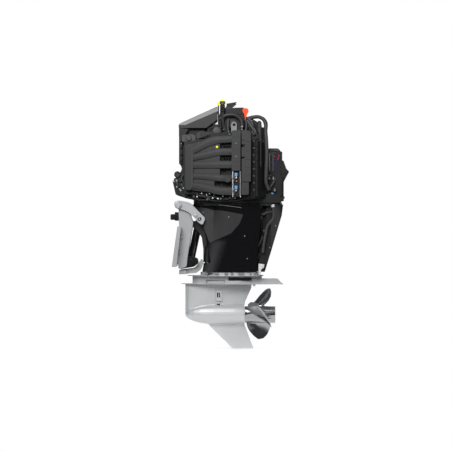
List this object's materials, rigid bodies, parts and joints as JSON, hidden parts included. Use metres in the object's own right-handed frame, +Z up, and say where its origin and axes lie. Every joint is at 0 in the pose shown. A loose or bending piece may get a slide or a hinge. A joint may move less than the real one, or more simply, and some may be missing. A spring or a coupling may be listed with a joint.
{
  "type": "outboard motor",
  "caption": "Large vee-engined outboard motor with the upper cowl off, on a tilting and steering transom clamp, with a geared propeller drive.",
  "frame": {"origin": "centre of the transom mounting face on the centre plane", "axes": "+X aft, +Y starboard, +Z up"},
  "size_m": [0.7888, 0.5202, 1.658],
  "materials": {
    "bracket_grey": "satin paint over cast aluminium",
    "gearcase_grey": "satin paint over cast aluminium",
    "steel": "machined",
    "trim_black": "black paint",
    "gloss_black": "gloss moulded composite",
    "charcoal_panel": "textured moulding",
    "cast_black": "black paint over cast aluminium",
    "engine_plastic": "moulded glass-filled nylon",
    "hose_rubber": "moulded hose",
    "propeller_steel": "polished stainless steel",
    "marker_yellow": "moulded plastic"
  },
  "bodies": {
    "clamp": {"port_clamp_bracket": "bracket_grey", "starboard_clamp_bracket": "bracket_grey", "tilt_tube": "steel", "trim_manifold": "trim_black", "trim_pump_motor": "trim_black", "trim_fluid_reservoir": "trim_black", "lower_tie_casting": "bracket_grey", "steering_hydraulic_block": "trim_black"},
    "swivel": {"swivel_bracket": "bracket_grey", "trim_upper_pin": "steel"},
    "tilt_lock": {"tilt_lock_lever": "bracket_grey"},
    "trim_rod": {"trim_ram_rod": "steel"},
    "trim_barrel": {"trim_ram_barrel": "trim_black"},
    "motor": {"steering_shaft": "steel", "upper_yoke": "cast_black", "lower_yoke": "cast_black", "driveshaft_housing": "cast_black", "port_side_cover": "gloss_black", "port_side_panel": "charcoal_panel", "starboard_side_cover": "gloss_black", "starboard_side_panel": "charcoal_panel", "rear_leg_cover": "gloss_black", "adapter_plate": "cast_black", "gearcase": "gearcase_grey", "port_water_inlet": "gearcase_grey", "starboard_water_inlet": "gearcase_grey", "upper_gearcase": "gearcase_grey", "splash_plate": "gearcase_grey", "bearing_carrier": "steel", "cylinder_block": "cast_black", "port_cylinder_head": "cast_black", "port_cam_cover": "engine_plastic", "starboard_cylinder_head": "cast_black", "starboard_cam_cover": "engine_plastic", "port_intake_manifold": "engine_plastic", "starboard_intake_manifold": "engine_plastic", "throttle_body": "cast_black", "top_cover": "engine_plastic", "rear_top_cover": "engine_plastic", "fuse_box": "engine_plastic", "rear_cowl_support": "cast_black", "fuel_vapour_separator": "cast_black", "oil_filler_neck": "engine_plastic", "lifting_eye": "steel", "vent_hose": "hose_rubber", "flush_hose": "hose_rubber"},
    "crank": {"crankshaft": "steel", "flywheel": "steel", "driveshaft": "steel", "pinion_gear": "steel"},
    "prop": {"propeller_shaft": "steel", "forward_gear": "steel", "propeller": "propeller_steel", "propeller_nut": "steel"},
    "reverse": {"reverse_gear": "steel"},
    "dog": {"clutch_dog": "steel"},
    "shift": {"shift_shaft": "steel"},
    "oil_cap": {"oil_filler_cap": "marker_yellow"},
    "dipstick": {"dipstick": "marker_yellow"},
    "throttle": {"throttle_plate": "steel"}
  },
  "joints": [
    {"name": "tilt", "type": "hinge", "parent": "clamp", "child": "swivel", "pos_m": [0.024, 0, 0.279], "axis": [0, -1, 0], "range_deg": [0, 70]},
    {"name": "tilt_lock_swing", "type": "hinge", "parent": "swivel", "child": "tilt_lock", "pos_m": [0.17, 0.139, 0.195], "axis": [0, -1, 0], "range_deg": [-70, 0]},
    {"name": "trim_rod_swing", "type": "hinge", "parent": "swivel", "child": "trim_rod", "pos_m": [0.162, 0, 0.182], "axis": [0, -1, 0], "range_deg": [-70, 0]},
    {"name": "trim_ram_slide", "type": "slide", "parent": "trim_rod", "child": "trim_barrel", "axis": [-0.207, 0, -0.9783], "range_m": [0, 0.2]},
    {"name": "steer", "type": "hinge", "parent": "swivel", "child": "motor", "pos_m": [0.216, 0, 0], "axis": [0, 0, 1], "range_deg": [-30, 30]},
    {"name": "crank_spin", "type": "hinge", "parent": "motor", "child": "crank", "pos_m": [0.29, 0, 0], "axis": [0, 0, 1], "continuous": true},
    {"name": "propeller_spin", "type": "hinge", "parent": "motor", "child": "prop", "pos_m": [0.29, 0, -0.4523], "axis": [1, 0, 0], "continuous": true},
    {"name": "reverse_gear_spin", "type": "hinge", "parent": "motor", "child": "reverse", "pos_m": [0.29, 0, -0.4523], "axis": [1, 0, 0], "continuous": true},
    {"name": "shift_turn", "type": "hinge", "parent": "motor", "child": "shift", "pos_m": [0.2, 0, -0.4], "axis": [0, 0, 1], "range_deg": [0, 40]},
    {"name": "clutch_dog_slide", "type": "slide", "parent": "prop", "child": "dog", "axis": [1, 0, 0], "range_m": [0, 0.016]},
    {"name": "oil_cap_turn", "type": "hinge", "parent": "motor", "child": "oil_cap", "pos_m": [0.317, -0.138, 0.95], "axis": [0, 0, 1], "range_deg": [0, 90]},
    {"name": "dipstick_pull", "type": "slide", "parent": "motor", "child": "dipstick", "axis": [0, 0, 1], "range_m": [0, 0.4]},
    {"name": "throttle_turn", "type": "hinge", "parent": "motor", "child": "throttle", "pos_m": [0.09, 0, 0.716], "axis": [0, 1, 0], "range_deg": [0, 80], "stiffness_Nm_per_rad": 0.4}
  ],
  "couplings": [
    {"joint": "trim_rod_swing", "follows": "tilt", "ratio": -0.93269},
    {"joint": "trim_ram_slide", "follows": "tilt", "m_per_rad": 0.15635},
    {"joint": "propeller_spin", "follows": "crank_spin", "ratio": 0.54167},
    {"joint": "reverse_gear_spin", "follows": "crank_spin", "ratio": -0.54167},
    {"joint": "clutch_dog_slide", "follows": "shift_turn", "m_per_rad": 0.022918}
  ]
}
